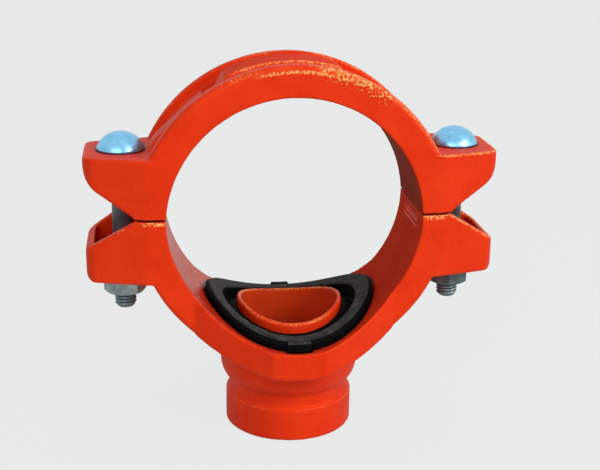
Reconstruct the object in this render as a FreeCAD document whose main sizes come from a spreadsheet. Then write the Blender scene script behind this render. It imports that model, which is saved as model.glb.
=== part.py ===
import FreeCAD, Part
import math
import os
import Sketcher
from FreeCAD import Placement, Rotation, Vector

# Bolted saddle branch for a 114.3 mm run pipe with a grooved 60.3 mm outlet.
# The origin is where the axis of the run (Y) crosses the axis of the outlet (Z).
# The outlet points down, and the two castings part on the plane Z = 0.
# All lengths are in millimetres, all angles in degrees.

SIZES = (
    ("run_diameter", 114.3, "outside diameter of the run pipe"),
    ("bore_play", 0.45, "radial room between the pipe and both castings"),
    ("strap_drop", 4.0, "how far the strap's arc centre lies below the parting plane"),
    ("body_width", 49.0, "width of both castings along the run"),
    ("ring_wall", 13.1, "radial wall of the lower casting's ring"),
    ("ring_rounding", 2.0, "edge rounding of the lower ring"),
    ("strap_wall", 14.4, "radial wall of the strap at its rims"),
    ("strap_rounding", 3.0, "edge rounding of the strap's rims"),
    ("boss_width", 88.0, "width of the outlet boss along the run"),
    ("boss_flat", 24.0, "width of the flat at the front and back of the boss"),
    ("boss_angle", 30.0, "slant of the boss's cheeks in plan"),
    ("neck_diameter", 65.4, "diameter of the neck under the boss"),
    ("neck_curve", 13.0, "radius that brings the neck in to the groove"),
    ("outlet_level", 107.0, "depth of the outlet's end face below the run axis"),
    ("outlet_diameter", 60.3, "outside diameter of the outlet"),
    ("groove_land", 15.88, "land between the outlet's end and its groove"),
    ("groove_flat", 6.1, "straight part of the coupling groove's bottom"),
    ("groove_diameter", 57.15, "diameter at the bottom of the groove"),
    ("groove_rounding", 0.7, "rounding of the land's upper rim"),
    ("waterway_top", 42.8, "diameter of the waterway at the collar"),
    ("waterway_end", 48.8, "diameter of the waterway at the outlet's end"),
    ("collar_diameter", 49.6, "outside diameter of the locating collar"),
    ("collar_stand", 7.3, "how far the collar stands above the saddle"),
    ("collar_rounding", 1.2, "rounding of the collar's rim"),
    ("recess_depth", 5.0, "depth of the gasket's recess in the saddle"),
    ("gasket_diameter", 79.0, "outside diameter of the gasket"),
    ("gasket_lip", 8.0, "width of the gasket's thick outer ring"),
    ("gasket_stand", 4.6, "how far the loose gasket stands above the saddle"),
    ("gasket_skirt", 3.5, "thickness of the gasket's inner skirt"),
    ("gasket_rounding", 1.2, "rounding of the gasket's top edges"),
    ("gasket_play", 0.25, "room between the gasket's side and its recess"),
    ("gasket_seat", 0.05, "room under the gasket"),
    ("skirt_play", 0.3, "room between the gasket's skirt and the collar"),
    ("front_tab", 11.0, "width of the gasket's front tab"),
    ("back_tab", 9.0, "width of the gasket's back tab"),
    ("tab_reach", 2.1, "how far the tabs reach past the gasket's side"),
    ("lug_reach", 93.5, "distance of the lugs' ends from the outlet axis"),
    ("lug_flank", 70.2, "where the lugs leave the parting plane"),
    ("lug_corner", 7.0, "radius of the lugs' corners in plan"),
    ("lug_taper", 15.0, "slant of the lugs' front and back in plan"),
    ("taper_start", 66.0, "where that slant starts, from the outlet axis"),
    ("lug_top", 27.2, "height of the strap's lugs above the parting plane"),
    ("knee_inset", 7.0, "how far the straight underside of the strap's lugs ends short of them"),
    ("knee_level", 11.0, "height of that point"),
    ("side_level", 23.0, "height where the lugs' upright ends begin"),
    ("knee_curve", 14.8, "radius between the underside and the end"),
    ("wall_inset", 1.7, "how far the sloping tops of the lower lugs' walls end short of them"),
    ("wall_level", 13.6, "depth of that point below the parting plane"),
    ("rim_level", 15.0, "depth where the lower lugs' upright ends begin"),
    ("lug_bottom", 30.0, "depth of the lower lugs' underside"),
    ("lug_rounding", 4.0, "rounding of the lower lugs' outer bottom edge"),
    ("lug_wall", 4.0, "wall around the lower lugs' hollows"),
    ("lug_floor", 4.5, "floor under the lower lugs' hollows"),
    ("tongue_depth", 8.0, "length of the strap's locating tongues"),
    ("tongue_root", 34.0, "width of a tongue at the parting plane"),
    ("tongue_tip", 24.0, "width of a tongue at its tip"),
    ("tongue_reach", 63.0, "outer face of the tongues, from the outlet axis"),
    ("tongue_play", 0.4, "room around a tongue in its recess"),
    ("channel_width", 36.0, "width of the channel round the strap's back"),
    ("channel_wall", 9.4, "metal left under the channel"),
    ("channel_angle", 44.0, "half the angle over which the channel is round"),
    ("pad_width", 21.0, "width of the raised pad in the channel"),
    ("pad_angle", 20.7, "half the angle that the pad's top spans"),
    ("pad_lean", 3.8, "angle by which the pad sits to the left"),
    ("pad_ramp", 10.5, "angle taken up by each of the pad's ramped ends"),
    ("rib_width", 12.0, "width of the low rib at each end of the channel"),
    ("rib_stand", 2.3, "how far the ribs stand above the channel's floor"),
    ("rib_start", 35.5, "angle from the top where the ribs start"),
    ("bolt_spacing", 153.4, "distance between the two bolts"),
    ("bolt_diameter", 9.9, "diameter of the bolts' plain shank"),
    ("thread_core", 9.1, "diameter of the threaded end without its thread"),
    ("plain_length", 43.0, "length of neck and plain shank under the head"),
    ("bolt_length", 74.7, "length of the bolt under its head"),
    ("bolt_tip", 0.9, "chamfer at the bolt's end"),
    ("head_diameter", 21.7, "diameter of the domed head"),
    ("head_edge", 0.8, "height of the head's upright edge"),
    ("head_height", 8.2, "height of the head"),
    ("neck_length", 15.0, "length of the oval neck under the head"),
    ("neck_width", 10.6, "width of the oval neck"),
    ("neck_depth", 6.0, "height of the oval neck"),
    ("neck_play", 0.35, "room round the neck in its oval hole"),
    ("hole_play", 0.55, "radial room round the shank in the lower lugs"),
    ("nut_flats", 17.0, "width of the nuts across their flats"),
    ("nut_height", 10.0, "height of the nuts"),
    ("nut_play", 0.1, "radial room between the thread's core and the nut"),
    ("nut_face", 16.6, "diameter of the nuts' round end faces"),
    ("nut_chamfer", 30.0, "angle of the chamfer on the nuts' corners"),
    ("left_nut_turn", 7.0, "how the left nut came to rest about its bolt"),
    ("right_nut_turn", 23.5, "how the right nut came to rest about its bolt"),
)

# How far a cutting outline runs past the metal that it cuts.
SPARE = 5
# How far an added form is sunk into the metal that carries it.
ROOT = 2

document = FreeCAD.newDocument("saddle_branch")
sheet = document.addObject("Spreadsheet::Sheet", "Sizes")


class Size:
    """A length or angle together with the formula that ties it to the sheet."""

    def __init__(self, value, formula):
        self.value = value
        self.formula = formula

    def __add__(self, other):
        other = as_size(other)
        return Size(self.value + other.value, f"({self.formula} + {other.formula})")

    def __sub__(self, other):
        other = as_size(other)
        return Size(self.value - other.value, f"({self.formula} - {other.formula})")

    def __mul__(self, other):
        other = as_size(other)
        return Size(self.value * other.value, f"({self.formula} * {other.formula})")

    def __truediv__(self, other):
        other = as_size(other)
        return Size(self.value / other.value, f"({self.formula} / {other.formula})")

    def __radd__(self, other):
        return as_size(other) + self

    def __rsub__(self, other):
        return as_size(other) - self

    def __rmul__(self, other):
        return as_size(other) * self

    def __neg__(self):
        return as_size(0) - self


def as_size(item):
    if isinstance(item, Size):
        return item
    return Size(float(item), f"({float(item)!r})")


def root(size):
    return Size(math.sqrt(size.value), f"sqrt({size.formula})")


def sine(angle):
    return Size(math.sin(math.radians(angle.value)), f"sin({angle.formula} * 1 deg)")


def cosine(angle):
    return Size(math.cos(math.radians(angle.value)), f"cos({angle.formula} * 1 deg)")


def tangent(angle):
    return Size(math.tan(math.radians(angle.value)), f"tan({angle.formula} * 1 deg)")


def fill_sheet():
    """Write the driving sizes to the sheet and return them by name."""
    sizes = {}
    for row, (name, value, meaning) in enumerate(SIZES, start=1):
        sheet.set(f"A{row}", name)
        sheet.set(f"B{row}", str(value))
        sheet.set(f"C{row}", meaning)
        sheet.setAlias(f"B{row}", name)
        sizes[name] = Size(value, f"Sizes.{name}")
    document.recompute()
    return sizes


def bind(item, prop, size):
    item.setExpression(prop, as_size(size).formula)


def checked(item):
    """Recompute, and stop if the object failed."""
    document.recompute()
    if "Invalid" in item.State or "Error" in item.State:
        raise RuntimeError(f"{item.Label} failed: {item.State}")
    return item


# Sketches. A corner is (across, up). A third value bends the edge that leaves the
# corner to that radius, and a fourth says whether it turns left (1) or right (-1).

def pin_point(sketch, geometry, position, across, up):
    for kind, size in (("DistanceX", across), ("DistanceY", up)):
        size = as_size(size)
        number = sketch.addConstraint(Sketcher.Constraint(kind, geometry, position, size.value))
        sketch.setExpression(f"Constraints[{number}]", size.formula)


def pin_radius(sketch, geometry, radius):
    number = sketch.addConstraint(Sketcher.Constraint("Radius", geometry, radius.value))
    sketch.setExpression(f"Constraints[{number}]", radius.formula)


def arc_between(start, end, radius, turn):
    """The arc from start to end, as geometry that always runs anticlockwise."""
    chord = end - start
    half = chord.Length / 2
    rise = math.sqrt(max(radius * radius - half * half, 0))
    left = Vector(-chord.y, chord.x, 0).normalize()
    centre = (start + end) / 2 + left * rise * turn
    first, last = (start, end) if turn > 0 else (end, start)
    angles = [math.atan2(point.y - centre.y, point.x - centre.x) for point in (first, last)]
    if angles[1] < angles[0]:
        angles[1] += 2 * math.pi
    return Part.ArcOfCircle(Part.Circle(centre, Vector(0, 0, 1), radius), *angles)


def add_outline(sketch, corners):
    """A closed outline through the corners, every corner tied to its formulas."""
    places = [Vector(as_size(corner[0]).value, as_size(corner[1]).value, 0) for corner in corners]
    edges = []
    for number, corner in enumerate(corners):
        start = places[number]
        end = places[(number + 1) % len(corners)]
        if len(corner) == 2:
            geometry = sketch.addGeometry(Part.LineSegment(start, end), False)
            edges.append((geometry, 1, 2))
            continue
        radius, turn = as_size(corner[2]), corner[3]
        geometry = sketch.addGeometry(arc_between(start, end, radius.value, turn), False)
        pin_radius(sketch, geometry, radius)
        edges.append((geometry, 1, 2) if turn > 0 else (geometry, 2, 1))
    for number, corner in enumerate(corners):
        geometry, begins, ends = edges[number]
        following = edges[(number + 1) % len(corners)]
        joint = Sketcher.Constraint("Coincident", geometry, ends, following[0], following[1])
        sketch.addConstraint(joint)
        pin_point(sketch, geometry, begins, corner[0], corner[1])


def add_circle(sketch, across, up, radius):
    across, up, radius = as_size(across), as_size(up), as_size(radius)
    centre = Vector(across.value, up.value, 0)
    circle = Part.Circle(centre, Vector(0, 0, 1), radius.value)
    geometry = sketch.addGeometry(circle, False)
    pin_radius(sketch, geometry, radius)
    pin_point(sketch, geometry, 3, across, up)


def add_slot(sketch, across, length, width):
    """An oval with straight flanks, centred on the sketch's own across axis."""
    across, reach, radius = as_size(across), (length - width) / 2, width / 2
    right, left = across + reach, across - reach
    up = Vector(0, 0, 1)
    right_end = Part.Circle(Vector(right.value, 0, 0), up, radius.value)
    left_end = Part.Circle(Vector(left.value, 0, 0), up, radius.value)
    first = sketch.addGeometry(Part.ArcOfCircle(right_end, -math.pi / 2, math.pi / 2), False)
    second = sketch.addGeometry(Part.ArcOfCircle(left_end, math.pi / 2, 3 * math.pi / 2), False)
    high = [Vector(side.value, radius.value, 0) for side in (right, left)]
    low = [Vector(side.value, -radius.value, 0) for side in (left, right)]
    top = sketch.addGeometry(Part.LineSegment(*high), False)
    bottom = sketch.addGeometry(Part.LineSegment(*low), False)
    for link in ((first, 2, top, 1), (top, 2, second, 1), (second, 2, bottom, 1), (bottom, 2, first, 1)):
        sketch.addConstraint(Sketcher.Constraint("Tangent", *link))
    sketch.addConstraint(Sketcher.Constraint("Equal", first, second))
    pin_radius(sketch, first, radius)
    pin_point(sketch, first, 3, right, 0)
    pin_point(sketch, second, 3, left, 0)


def new_sketch(body, name, plane):
    sketch = body.newObject("Sketcher::SketchObject", name)
    planes = [item for item in body.Origin.OriginFeatures if item.Role == plane]
    sketch.AttachmentSupport = [(planes[0], "")]
    sketch.MapMode = "FlatFace"
    return sketch


def outline_sketch(body, name, plane, *outlines):
    sketch = new_sketch(body, name, plane)
    for corners in outlines:
        add_outline(sketch, corners)
    return checked(sketch)


def circle_sketch(body, name, plane, *circles):
    sketch = new_sketch(body, name, plane)
    for circle in circles:
        add_circle(sketch, *circle)
    return checked(sketch)


# Features of the bodies.

def new_body(name):
    return document.addObject("PartDesign::Body", name)


def pad(body, sketch, length, reversed_side=False, symmetric=False):
    feature = body.newObject("PartDesign::Pad", f"{sketch.Name}_pad")
    feature.Profile = sketch
    feature.SideType = "Symmetric" if symmetric else "One side"
    feature.Reversed = reversed_side
    bind(feature, "Length", length)
    return checked(feature)


def cut_checked(body, feature, before):
    """A cut has to take metal away, or it points the wrong way."""
    checked(feature)
    if body.Shape.Volume > before - 1:
        raise RuntimeError(f"{feature.Label} cuts nothing")
    return feature


def pocket(body, sketch, length=None, symmetric=False):
    """A cut straight through, or as deep as length, away from the sketch's normal."""
    before = body.Shape.Volume
    feature = body.newObject("PartDesign::Pocket", f"{sketch.Name}_cut")
    feature.Profile = sketch
    feature.SideType = "Symmetric" if symmetric else "One side"
    if length is None:
        feature.Type = "ThroughAll"
    else:
        bind(feature, "Length", length)
    return cut_checked(body, feature, before)


def turned(body, sketch):
    feature = body.newObject("PartDesign::Revolution", f"{sketch.Name}_turned")
    feature.Profile = sketch
    feature.ReferenceAxis = (sketch, ["V_Axis"])
    feature.Angle = 360
    return checked(feature)


def turned_cut(body, sketch):
    before = body.Shape.Volume
    feature = body.newObject("PartDesign::Groove", f"{sketch.Name}_cut")
    feature.Profile = sketch
    feature.ReferenceAxis = (sketch, ["V_Axis"])
    feature.Angle = 360
    return cut_checked(body, feature, before)


def edge_names(shape, wanted):
    return [f"Edge{number}" for number, edge in enumerate(shape.Edges, start=1) if wanted(edge)]


def rounded(body, name, radius, wanted):
    """Round the edges of the body's last feature for which wanted(edge) is true."""
    base = body.Tip
    names = edge_names(base.Shape, wanted)
    if not names:
        raise RuntimeError(f"{name} finds no edge")
    feature = body.newObject("PartDesign::Fillet", name)
    feature.Base = (base, names)
    bind(feature, "Radius", radius)
    return checked(feature)


def is_circle_of(edge, radius):
    curve = edge.Curve
    return isinstance(curve, Part.Circle) and abs(curve.Radius - radius.value) < 1e-4


# Plain solids for the saddle-shaped forms. Each lies along one of the main axes.

def round_bar(name, axis, radius, start, end):
    bar = document.addObject("Part::Cylinder", name)
    if axis == "y":
        bar.Placement = Placement(Vector(), Rotation(Vector(1, 0, 0), -90))
    bind(bar, "Radius", radius)
    bind(bar, "Height", as_size(end) - start)
    bind(bar, f"Placement.Base.{axis}", start)
    return bar


def block(name, width, depth, corner):
    """A block centred on X = 0 that starts at corner, which is (along Y, bottom, top)."""
    start, bottom, top = corner
    box = document.addObject("Part::Box", name)
    bind(box, "Length", width)
    bind(box, "Width", depth)
    bind(box, "Height", as_size(top) - bottom)
    bind(box, "Placement.Base.x", -width / 2)
    bind(box, "Placement.Base.y", start)
    bind(box, "Placement.Base.z", bottom)
    return box


def joined(name, *pieces):
    fused = document.addObject("Part::MultiFuse", name)
    fused.Shapes = list(pieces)
    fused.Refine = True
    return checked(fused)


def shared(name, first, second):
    common = document.addObject("Part::MultiCommon", name)
    common.Shapes = [first, second]
    return checked(common)


def without(name, base, tool):
    cut = document.addObject("Part::Cut", name)
    cut.Base = base
    cut.Tool = tool
    cut.Refine = True
    checked(cut)
    if cut.Shape.Volume > base.Shape.Volume - 1:
        raise RuntimeError(f"{name} cuts nothing")
    return cut


def rounded_edges(name, base, radius, wanted):
    fillet = document.addObject("Part::Fillet", name)
    fillet.Base = base
    numbers = [n for n, edge in enumerate(base.Shape.Edges, start=1) if wanted(edge)]
    fillet.Edges = [(number, radius.value, radius.value) for number in numbers]
    return checked(fillet)


size = fill_sheet()

# Radii and levels that several pieces share.
bore = size["run_diameter"] / 2 + size["bore_play"]
half_width = size["body_width"] / 2
ring_outside = bore + size["ring_wall"]
strap_outside = bore + size["strap_wall"]
strap_centre = -size["strap_drop"]
bolt_offset = size["bolt_spacing"] / 2
recess_floor = bore + size["recess_depth"]
gasket_crown = bore - size["gasket_stand"]
boss_nose = size["boss_width"] / 2


def lug_plan_corners(inset):
    """Where the tapered side, the corner's arc and the end of a lug meet in plan.

    The inset moves all of them inwards, for the hollow inside the lug's wall.
    """
    corner = size["lug_corner"]
    across = size["lug_reach"] - corner
    taper = size["lug_taper"]
    slant_end = across + corner * sine(taper)
    along = half_width - (slant_end - size["taper_start"]) * tangent(taper)
    centre = along - corner * cosine(taper)
    small = corner - inset
    arc_start = (across + small * sine(taper), centre + small * cosine(taper))
    arc_end = (across + small, centre)
    return arc_start, arc_end, small


def trim_lug_corners(body, name):
    """Cut the tapered sides and round corners of both lugs, seen in plan."""
    arc_start, arc_end, corner = lug_plan_corners(as_size(0))
    outside = half_width + SPARE
    beyond = size["lug_reach"] + SPARE
    outlines = []
    for side in (-1, 1):
        for front in (-1, 1):
            turn = -side * front
            outlines.append((
                (side * size["taper_start"], front * half_width),
                (side * arc_start[0], front * arc_start[1], corner, turn),
                (side * arc_end[0], front * arc_end[1]),
                (side * beyond, front * arc_end[1]),
                (side * beyond, front * outside),
                (side * size["taper_start"], front * outside),
            ))
    sketch = outline_sketch(body, name, "XY_Plane", *outlines)
    pocket(body, sketch, symmetric=True)


# The lower casting: half a ring with two hollow lugs, a faceted boss and the outlet.

def housing_ring(body):
    """A ring blank, rounded at its rims, and the boss that crosses it."""
    sketch = circle_sketch(body, "ring_blank", "XZ_Plane", (0, 0, ring_outside))
    pad(body, sketch, size["body_width"], symmetric=True)
    rounded(body, "ring_rims", size["ring_rounding"], lambda edge: is_circle_of(edge, ring_outside))

    flat = size["boss_flat"] / 2
    reach = flat + (boss_nose - half_width) / tangent(size["boss_angle"])
    drop = root(ring_outside * ring_outside - reach * reach)
    sketch = outline_sketch(body, "boss", "XZ_Plane", (
        (-reach, -drop, ring_outside, 1),
        (reach, -drop),
        (reach, 0),
        (-reach, 0),
    ))
    pad(body, sketch, size["boss_width"], symmetric=True)

    outlines = []
    for front in (-1, 1):
        outlines.append((
            (-reach - SPARE, front * half_width),
            (-reach, front * half_width),
            (-flat, front * boss_nose),
            (flat, front * boss_nose),
            (reach, front * half_width),
            (reach + SPARE, front * half_width),
            (reach + SPARE, front * (boss_nose + SPARE)),
            (-reach - SPARE, front * (boss_nose + SPARE)),
        ))
    sketch = outline_sketch(body, "boss_cheeks", "XY_Plane", *outlines)
    pocket(body, sketch, symmetric=True)


def housing_lugs(body):
    """Two lugs with sloping walls round an open hollow, and a hole for each bolt."""
    rounding = size["lug_rounding"]
    inside = bore + ROOT
    wall_end = size["lug_reach"] - size["wall_inset"]
    outlines = []
    for side in (-1, 1):
        outlines.append((
            (side * inside, 0),
            (side * size["lug_flank"], 0),
            (side * wall_end, -size["wall_level"]),
            (side * size["lug_reach"], -size["rim_level"]),
            (side * size["lug_reach"], -(size["lug_bottom"] - rounding), rounding, -side),
            (side * (size["lug_reach"] - rounding), -size["lug_bottom"]),
            (side * inside, -size["lug_bottom"]),
        ))
    sketch = outline_sketch(body, "lower_lugs", "XZ_Plane", *outlines)
    pad(body, sketch, size["body_width"], symmetric=True)
    trim_lug_corners(body, "lower_lug_corners")

    arc_start, arc_end, corner = lug_plan_corners(size["lug_wall"])
    run = arc_start[0] - size["lug_flank"]
    root_along = arc_start[1] + run * tangent(size["lug_taper"])
    outlines = []
    for side in (-1, 1):
        outlines.append((
            (side * size["lug_flank"], -root_along),
            (side * arc_start[0], -arc_start[1], corner, side),
            (side * arc_end[0], -arc_end[1]),
            (side * arc_end[0], arc_end[1], corner, side),
            (side * arc_start[0], arc_start[1]),
            (side * size["lug_flank"], root_along),
        ))
    sketch = outline_sketch(body, "lug_hollows", "XY_Plane", *outlines)
    pocket(body, sketch, size["lug_bottom"] - size["lug_floor"])

    hole = size["bolt_diameter"] / 2 + size["hole_play"]
    sketch = circle_sketch(body, "lower_bolt_holes", "XY_Plane",
                           (-bolt_offset, 0, hole), (bolt_offset, 0, hole))
    pocket(body, sketch)


def housing_outlet(body):
    """The neck and the outlet, turned about the outlet axis."""
    outside = size["outlet_diameter"] / 2
    bottom = size["groove_diameter"] / 2
    end = -size["outlet_level"]
    land = end + size["groove_land"]
    shoulder = land + size["groove_flat"]
    neck = size["neck_diameter"] / 2
    curve = size["neck_curve"]
    inset = curve - (neck - bottom)
    neck_level = shoulder + root(curve * curve - inset * inset)
    sketch = outline_sketch(body, "outlet", "XZ_Plane", (
        (0, end),
        (outside, end),
        (outside, land),
        (bottom, land),
        (bottom, shoulder, curve, 1),
        (neck, neck_level),
        (neck, -recess_floor),
        (0, -recess_floor),
    ))
    turned(body, sketch)

    def land_rim(edge):
        return is_circle_of(edge, outside) and abs(edge.Curve.Center.z - land.value) < 1e-4

    rounded(body, "land_rim", size["groove_rounding"], land_rim)


def housing_openings(body):
    """Part the ring at the middle plane, then cut the tongues' recesses and the bore."""
    beyond = ring_outside + SPARE
    sketch = outline_sketch(body, "above_parting", "XZ_Plane", (
        (-beyond, 0),
        (beyond, 0),
        (beyond, beyond),
        (-beyond, beyond),
    ))
    pocket(body, sketch, symmetric=True)

    play = size["tongue_play"]
    root_half = size["tongue_root"] / 2 + play
    tip_half = size["tongue_tip"] / 2 + play
    sketch = outline_sketch(body, "tongue_recesses", "YZ_Plane", (
        (-root_half, 0),
        (-tip_half, -size["tongue_depth"] - play),
        (tip_half, -size["tongue_depth"] - play),
        (root_half, 0),
    ))
    pocket(body, sketch, 2 * (size["tongue_reach"] + play), symmetric=True)

    sketch = circle_sketch(body, "lower_bore", "XZ_Plane", (0, 0, bore))
    pocket(body, sketch, symmetric=True)


def gasket_tabs(name, play):
    """Blocks for the front and back tabs or, with some play round them, for their notches."""
    inner = (size["gasket_diameter"] - size["gasket_lip"]) / 2
    reach = size["gasket_diameter"] / 2 + size["tab_reach"] + play
    depth = reach - inner
    bottom = -recess_floor - SPARE
    front = block(f"{name}_front", size["front_tab"] + 2 * play, depth, (-reach, bottom, 0))
    back = block(f"{name}_back", size["back_tab"] + 2 * play, depth, (inner, bottom, 0))
    return joined(f"{name}_pair", front, back)


def make_housing():
    body = new_body("housing_casting")
    housing_ring(body)
    housing_outlet(body)
    housing_lugs(body)
    housing_openings(body)

    play = size["gasket_play"]
    radius = size["gasket_diameter"] / 2 + play
    floor = round_bar("recess_floor", "y", recess_floor, -boss_nose - SPARE, boss_nose + SPARE)
    side = round_bar("recess_side", "z", radius, -recess_floor - SPARE, 0)
    plan = joined("recess_plan", side, gasket_tabs("tab_notch", play))
    recess = shared("recess", floor, plan)

    waterway = document.addObject("Part::Cone", "waterway")
    bind(waterway, "Radius1", size["waterway_end"] / 2)
    bind(waterway, "Radius2", size["waterway_top"] / 2)
    bind(waterway, "Height", size["outlet_level"])
    bind(waterway, "Placement.Base.z", -size["outlet_level"])

    hollowed = without("hollowed_casting", body, joined("hollows", recess, waterway))

    return joined("outlet_housing", hollowed, make_collar(waterway))


def make_collar(waterway):
    """The ring that locates the fitting in the hole of the run pipe, cut to the saddle."""
    top = bore - size["collar_stand"]
    blank = round_bar("collar_blank", "z", size["collar_diameter"] / 2, -recess_floor - ROOT, 0)
    saddle = round_bar("collar_saddle", "y", top, -boss_nose, boss_nose)
    collar = without("saddled_collar", blank, saddle)

    def rim(edge):
        points = edge.discretize(5)
        curved = edge.BoundBox.YLength > 1 and edge.BoundBox.ZLength > 1
        return curved and all(abs(math.hypot(point.x, point.z) - top.value) < 0.01 for point in points)

    collar = rounded_edges("collar_outer_rim", collar, size["collar_rounding"], rim)
    collar = without("open_collar", collar, document.copyObject(waterway))
    return rounded_edges("collar_inner_rim", collar, size["collar_rounding"] / 2, rim)


# The strap: the upper half ring with a channel round its back and two solid lugs.

def make_strap():
    body = new_body("strap")
    sketch = circle_sketch(body, "strap_blank", "XZ_Plane", (0, strap_centre, strap_outside))
    pad(body, sketch, size["body_width"], symmetric=True)
    rounded(body, "strap_rims", size["strap_rounding"], lambda edge: is_circle_of(edge, strap_outside))

    floor = bore + size["channel_wall"]
    angle = size["channel_angle"]
    run = root(strap_outside * strap_outside - floor * floor)

    def on_arc(radius, degrees):
        return radius * sine(degrees), strap_centre + radius * cosine(degrees)

    def along_channel(radius, distance):
        """A point over the channel's straight end, that distance past its round floor."""
        across, up = on_arc(radius, angle)
        return across + distance * cosine(angle), up - distance * sine(angle)

    floor_end = on_arc(floor, angle)
    run_end = along_channel(floor, run)
    above = strap_outside + SPARE
    sketch = outline_sketch(body, "channel", "XZ_Plane", (
        (-floor_end[0], floor_end[1], floor, -1),
        floor_end,
        run_end,
        (run_end[0], above),
        (-run_end[0], above),
        (-run_end[0], run_end[1]),
    ))
    pocket(body, sketch, size["channel_width"], symmetric=True)

    left = -size["pad_angle"] - size["pad_lean"]
    right = size["pad_angle"] - size["pad_lean"]
    root_radius = floor - ROOT
    sketch = outline_sketch(body, "raised_pad", "XZ_Plane", (
        (*on_arc(strap_outside, left), strap_outside, -1),
        on_arc(strap_outside, right),
        on_arc(root_radius, right + size["pad_ramp"]),
        on_arc(root_radius, left - size["pad_ramp"]),
    ))
    pad(body, sketch, size["pad_width"], symmetric=True)

    crest = floor + size["rib_stand"]
    crest_run = root(strap_outside * strap_outside - crest * crest)
    outlines = []
    for side in (-1, 1):
        corners = (
            on_arc(root_radius, size["rib_start"]),
            (*on_arc(crest, size["rib_start"]), crest, -side),
            along_channel(crest, as_size(0)),
            (*along_channel(crest, crest_run), strap_outside, -side),
            along_channel(floor, run),
            along_channel(root_radius, crest_run),
            along_channel(root_radius, as_size(0)),
        )
        outlines.append([(side * corner[0], *corner[1:]) for corner in corners])
    sketch = outline_sketch(body, "channel_ribs", "XZ_Plane", *outlines)
    pad(body, sketch, size["rib_width"], symmetric=True)

    inside = bore + ROOT
    knee = size["lug_reach"] - size["knee_inset"]
    outlines = []
    for side in (-1, 1):
        outlines.append((
            (side * inside, 0),
            (side * size["lug_flank"], 0),
            (side * knee, size["knee_level"], size["knee_curve"], side),
            (side * size["lug_reach"], size["side_level"]),
            (side * size["lug_reach"], size["lug_top"]),
            (side * inside, size["lug_top"]),
        ))
    sketch = outline_sketch(body, "upper_lugs", "XZ_Plane", *outlines)
    pad(body, sketch, size["body_width"], symmetric=True)
    trim_lug_corners(body, "upper_lug_corners")

    beyond = strap_outside + SPARE
    sketch = outline_sketch(body, "below_parting", "XZ_Plane", (
        (-beyond, 0),
        (beyond, 0),
        (beyond, strap_centre - beyond),
        (-beyond, strap_centre - beyond),
    ))
    pocket(body, sketch, symmetric=True)

    root_half = size["tongue_root"] / 2
    tip_half = size["tongue_tip"] / 2
    sketch = outline_sketch(body, "tongues", "YZ_Plane", (
        (-root_half, 0),
        (-tip_half, -size["tongue_depth"]),
        (tip_half, -size["tongue_depth"]),
        (root_half, 0),
    ))
    pad(body, sketch, 2 * size["tongue_reach"], symmetric=True)

    sketch = circle_sketch(body, "upper_bore", "XZ_Plane", (0, strap_centre, bore))
    pocket(body, sketch, symmetric=True)

    play = 2 * size["neck_play"]
    sketch = new_sketch(body, "oval_holes", "XY_Plane")
    for side in (-1, 1):
        add_slot(sketch, side * bolt_offset, size["neck_length"] + play, size["neck_width"] + play)
    checked(sketch)
    pocket(body, sketch, symmetric=True)
    return body


def make_gasket():
    """A saddle ring that stands proud of its recess, with a thin skirt round the collar."""
    radius = size["gasket_diameter"] / 2
    underside = recess_floor - size["gasket_seat"]
    bottom = -recess_floor - SPARE
    disc = round_bar("gasket_side", "z", radius, bottom, 0)
    saddle = round_bar("gasket_underside", "y", underside, -boss_nose, boss_nose)
    plan = joined("gasket_plan", disc, gasket_tabs("gasket_tab", as_size(0)))
    blank = shared("gasket_blank", plan, saddle)

    crown = round_bar("gasket_crown", "y", gasket_crown, -boss_nose, boss_nose)
    step_floor = round_bar("skirt_top", "y", underside - size["gasket_skirt"], -boss_nose, boss_nose)
    step_side = round_bar("lip_inside", "z", radius - size["gasket_lip"], bottom, 0)
    step = shared("skirt_step", step_floor, step_side)
    inside = size["collar_diameter"] / 2 + size["skirt_play"]
    hole = round_bar("skirt_hole", "z", inside, bottom, 0)
    gasket = without("gasket_form", blank, joined("gasket_hollows", crown, step, hole))

    def crown_edge(edge):
        points = edge.discretize(5)
        return all(abs(math.hypot(point.x, point.z) - gasket_crown.value) < 0.01 for point in points)

    return rounded_edges("gasket", gasket, size["gasket_rounding"], crown_edge)


def make_bolt(name, side):
    """A track bolt: domed head, oval neck, plain shank and threaded end."""
    body = new_body(name)
    head = size["head_diameter"] / 2
    rise = size["head_height"] - size["head_edge"]
    dome = (head * head + rise * rise) / (2 * rise)
    shank = size["bolt_diameter"] / 2
    core = size["thread_core"] / 2
    tip = size["bolt_tip"]
    sketch = outline_sketch(body, f"{name}_profile", "XZ_Plane", (
        (0, -size["bolt_length"]),
        (core - tip, -size["bolt_length"]),
        (core, tip - size["bolt_length"]),
        (core, -size["plain_length"] - (shank - core)),
        (shank, -size["plain_length"]),
        (shank, 0),
        (head, 0),
        (head, size["head_edge"], dome, 1),
        (0, size["head_height"]),
    ))
    turned(body, sketch)
    sketch = new_sketch(body, f"{name}_neck", "XY_Plane")
    add_slot(sketch, 0, size["neck_length"], size["neck_width"])
    checked(sketch)
    pad(body, sketch, size["neck_depth"], reversed_side=True)
    bind(body, "Placement.Base.x", side * bolt_offset)
    bind(body, "Placement.Base.z", size["lug_top"])
    return checked(body)


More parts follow.
